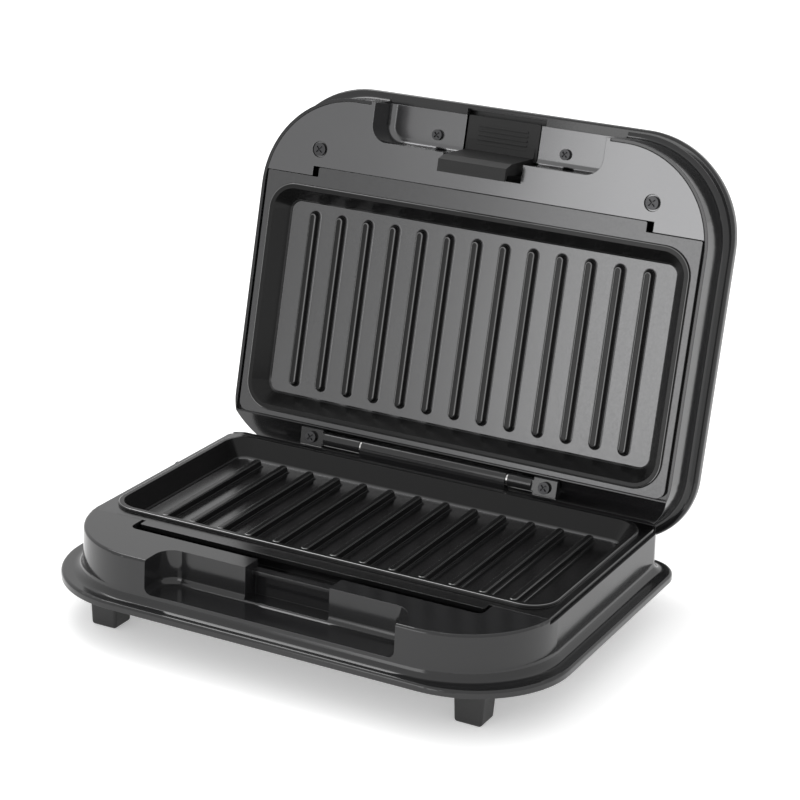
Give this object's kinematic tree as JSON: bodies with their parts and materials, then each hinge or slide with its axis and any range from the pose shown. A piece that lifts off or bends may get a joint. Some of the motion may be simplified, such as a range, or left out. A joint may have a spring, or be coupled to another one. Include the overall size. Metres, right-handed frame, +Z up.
{
  "type": "panini press",
  "caption": "Two-plate ribbed panini press on four feet, with a rear-hinged lid that stands open, front finger pockets and a sprung latch lever.",
  "frame": {"origin": "under the middle of the overall box with the lid open, at the height of the feet's soles", "axes": "+Z up, +X to the user's right, +Y from the front towards the hinge"},
  "size_m": [0.268, 0.2568, 0.2288],
  "materials": {
    "gloss_housing": "moulded black plastic with a soft gloss",
    "satin_panel": "moulded dark grey plastic, satin",
    "cover_black": "fine-textured black plastic",
    "nonstick": "dark grey non-stick coating on die-cast aluminium",
    "latch_black": "matte black plastic",
    "foot_black": "matte black plastic",
    "bright_steel": "bright steel",
    "dark_steel": "blackened steel",
    "element_steel": "sheathed heating element, heat-tinted",
    "reflector_sheet": "pressed sheet",
    "ceramic": "cream moulded insulator",
    "red_lens": "translucent red",
    "green_lens": "translucent green"
  },
  "bodies": {
    "base": {"base_housing": "gloss_housing", "bottom_cover": "cover_black", "lower_plate": "nonstick", "lower_heating_element": "element_steel", "lower_reflector": "reflector_sheet", "lower_thermostat": "ceramic", "thermal_fuse": "ceramic", "terminal_block": "ceramic", "cord_gland": "cover_black", "foot_front_left": "foot_black", "foot_front_right": "foot_black", "foot_rear_left": "foot_black", "foot_rear_right": "foot_black", "hinge_pin": "bright_steel", "hinge_washer_left": "bright_steel", "hinge_washer_right": "bright_steel", "lower_plate_screws": "dark_steel", "bottom_cover_screws": "dark_steel", "foot_screws": "dark_steel"},
    "lid": {"lid_housing": "gloss_housing", "lid_top_cover": "gloss_housing", "lid_front_panel": "satin_panel", "upper_plate": "nonstick", "upper_heating_element": "element_steel", "upper_reflector": "reflector_sheet", "upper_thermostat": "ceramic", "hinge_bracket_left": "gloss_housing", "hinge_bracket_right": "gloss_housing", "hinge_bracket_screws": "dark_steel", "latch_pin": "bright_steel", "latch_spring": "bright_steel", "power_lens": "red_lens", "ready_lens": "green_lens", "upper_plate_screws": "dark_steel", "lid_panel_screws": "dark_steel", "latch_pocket_screws": "dark_steel"},
    "latch": {"latch": "latch_black"}
  },
  "joints": [
    {"name": "lid_hinge", "type": "hinge", "parent": "base", "child": "lid", "pos_m": [0, 0.0572, 0.0521], "axis": [1, 0, 0], "range_deg": [0, 102]},
    {"name": "latch_pivot", "type": "hinge", "parent": "lid", "child": "latch", "pos_m": [0, 0.10531, 0.20197], "axis": [-1, 0, 0], "range_deg": [0, 12], "stiffness_Nm_per_rad": 0.03, "springref_deg": -20.05}
  ]
}
